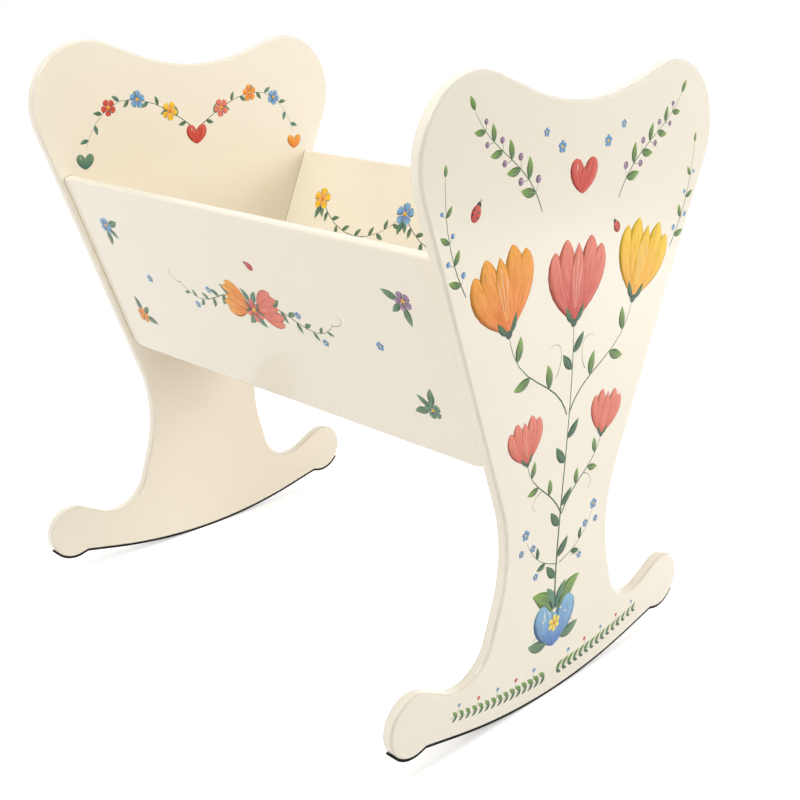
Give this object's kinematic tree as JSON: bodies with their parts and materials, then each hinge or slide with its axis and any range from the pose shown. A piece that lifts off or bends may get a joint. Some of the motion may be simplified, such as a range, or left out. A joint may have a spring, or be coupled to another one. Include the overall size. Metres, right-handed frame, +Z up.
{
  "type": "rocking cradle",
  "caption": "Painted wooden rocking cradle: shaped end panels cut in one with their rockers, slanting side boards between them, a vented base board and dark strips under the rockers.",
  "frame": {"origin": "on the floor, at the middle of the cradle's length and width", "axes": "+Z up, +Y along the cradle from the foot end to the head end, +X across it to the right as seen from the foot end"},
  "size_m": [0.685, 0.846, 0.9173],
  "materials": {
    "cream_paint": "smooth glossy cream paint over wood",
    "birch_ply": "sealed pale plywood",
    "pine": "planed softwood",
    "beech": "plain turned hardwood",
    "plated_steel": "bright zinc plating",
    "black_rubber": "matt"
  },
  "bodies": {
    "root": {"foot_end_panel": "cream_paint", "head_end_panel": "cream_paint", "left_side_board": "cream_paint", "right_side_board": "cream_paint", "base_board": "birch_ply", "left_base_cleat": "pine", "right_base_cleat": "pine", "foot_base_cleat": "pine", "head_base_cleat": "pine", "cleat_screws": "plated_steel", "base_screws": "plated_steel", "joint_dowels": "beech", "foot_rocker_tread": "black_rubber", "head_rocker_tread": "black_rubber", "foot_left_knob_tread": "black_rubber", "foot_right_knob_tread": "black_rubber", "head_left_knob_tread": "black_rubber", "head_right_knob_tread": "black_rubber"}
  },
  "joints": []
}
